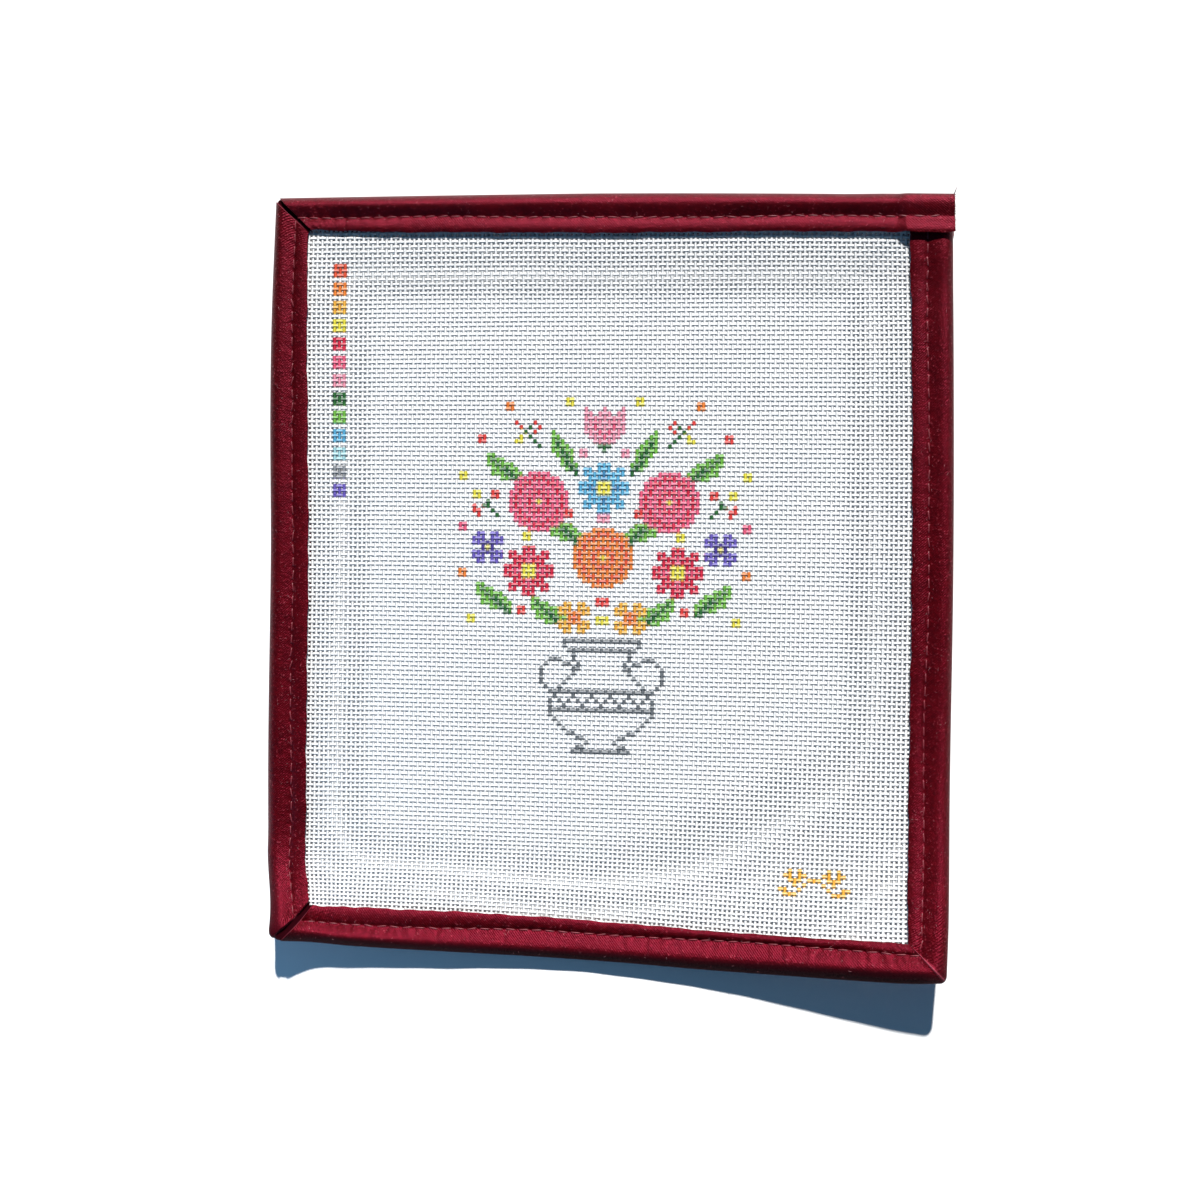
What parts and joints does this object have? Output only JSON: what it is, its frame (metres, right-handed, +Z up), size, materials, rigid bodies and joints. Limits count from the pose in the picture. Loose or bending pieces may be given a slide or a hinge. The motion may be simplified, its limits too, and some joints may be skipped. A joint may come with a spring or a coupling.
{
  "type": "needlepoint canvas panel",
  "caption": "Sheet of white mono needlepoint canvas with a painted flower design, its edge bound with folded burgundy tape, lying flat with its bottom edge curled up.",
  "frame": {"origin": "centre of the panel's outline, on the surface it rests on", "axes": "+X to the panel's right, +Y towards its top edge, +Z up out of the painted face"},
  "size_m": [0.2082, 0.2335, 0.018],
  "materials": {
    "canvas": "white cotton mono canvas, sized stiff, painted in matt colours",
    "tape": "burgundy cotton tape with a soft sheen"
  },
  "bodies": {
    "root": {"canvas": "canvas", "binding_tape": "tape"}
  },
  "joints": []
}
